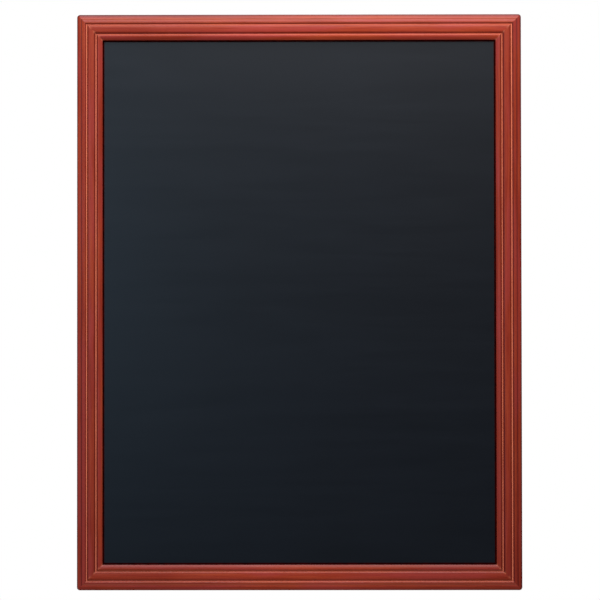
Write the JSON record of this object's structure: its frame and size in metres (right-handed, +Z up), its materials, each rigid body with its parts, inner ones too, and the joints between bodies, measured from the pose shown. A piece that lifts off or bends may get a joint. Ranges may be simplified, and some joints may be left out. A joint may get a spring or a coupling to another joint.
{
  "type": "menu board",
  "caption": "Upright wall-hung menu board: blank black writing panel in a mitred, reeded wooden frame with a rabbet, and swinging D-ring hangers and rubber bumpers on its back.",
  "frame": {"origin": "middle of the plane of the frame's back, mid width and mid height, where the board meets the wall", "axes": "+X to the reader's right, +Y into the wall, +Z up; the writing panel faces -Y"},
  "size_m": [0.695, 0.0244, 0.9],
  "materials": {
    "stained_wood": "red-brown stain under satin lacquer, fine straight grain along each side, darker in the grooves",
    "black_facing": "satin black writing facing, very slightly blue",
    "hardboard": "bare brown hardboard with a fine screen texture",
    "spring_steel": "plain bright steel strip",
    "zinc_plate": "zinc-plated steel, satin",
    "bumper_rubber": "dark matt rubber"
  },
  "bodies": {
    "frame": {"rail_top": "stained_wood", "stile_right": "stained_wood", "rail_bottom": "stained_wood", "stile_left": "stained_wood", "writing_sheet": "black_facing", "backing_panel": "hardboard", "framer_point_top_1": "spring_steel", "framer_point_top_2": "spring_steel", "framer_point_top_3": "spring_steel", "framer_point_right_1": "spring_steel", "framer_point_right_2": "spring_steel", "framer_point_right_3": "spring_steel", "framer_point_right_4": "spring_steel", "framer_point_bottom_1": "spring_steel", "framer_point_bottom_2": "spring_steel", "framer_point_bottom_3": "spring_steel", "framer_point_left_1": "spring_steel", "framer_point_left_2": "spring_steel", "framer_point_left_3": "spring_steel", "framer_point_left_4": "spring_steel", "v_nail_top_right_outer": "spring_steel", "v_nail_top_right_inner": "spring_steel", "v_nail_bottom_right_outer": "spring_steel", "v_nail_bottom_right_inner": "spring_steel", "v_nail_bottom_left_outer": "spring_steel", "v_nail_bottom_left_inner": "spring_steel", "v_nail_top_left_outer": "spring_steel", "v_nail_top_left_inner": "spring_steel", "hanger_strap_left": "zinc_plate", "hanger_strap_right": "zinc_plate", "hanger_screw_left_1": "zinc_plate", "hanger_screw_left_2": "zinc_plate", "hanger_screw_right_1": "zinc_plate", "hanger_screw_right_2": "zinc_plate", "wall_bumper_left": "bumper_rubber", "wall_bumper_right": "bumper_rubber"},
    "ring_left": {"hanger_ring_left": "zinc_plate"},
    "ring_right": {"hanger_ring_right": "zinc_plate"}
  },
  "joints": [
    {"name": "ring_left_swing", "type": "hinge", "parent": "frame", "child": "ring_left", "pos_m": [-0.3295, 0.00255, 0.225], "axis": [1, 0, 0], "range_deg": [0, 180]},
    {"name": "ring_right_swing", "type": "hinge", "parent": "frame", "child": "ring_right", "pos_m": [0.3295, 0.00255, 0.225], "axis": [1, 0, 0], "range_deg": [0, 180]}
  ]
}
